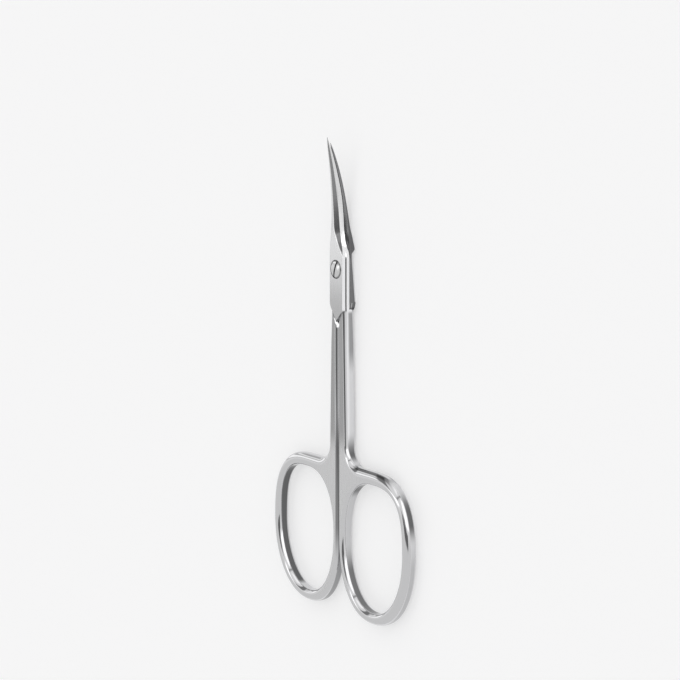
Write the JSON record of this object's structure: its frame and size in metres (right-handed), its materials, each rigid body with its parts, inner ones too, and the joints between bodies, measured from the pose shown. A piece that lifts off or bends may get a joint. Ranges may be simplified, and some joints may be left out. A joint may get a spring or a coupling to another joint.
{
  "type": "cuticle scissors",
  "caption": "Slim steel cuticle scissors with bent pointed blades, long narrow shanks and egg-shaped finger rings, turning on a slotted screw.",
  "frame": {"origin": "on the pivot axis, at the plane of the rear lap's back face, which the scissors lie on", "axes": "+Y from the rings to the tips, +Z out of the screw head, +X towards the front half's finger ring"},
  "size_m": [0.052, 0.1044, 0.0058],
  "materials": {
    "half_steel": "stainless steel, polished edges and rings, satin flats",
    "screw_steel": "satin stainless steel"
  },
  "bodies": {
    "rear": {"rear_half": "half_steel", "pivot_screw": "screw_steel"},
    "front": {"front_half": "half_steel"}
  },
  "joints": [
    {"name": "pivot", "type": "hinge", "parent": "rear", "child": "front", "pos_m": [0, 0, 0], "axis": [0, 0, 1], "range_deg": [0, 70]}
  ]
}
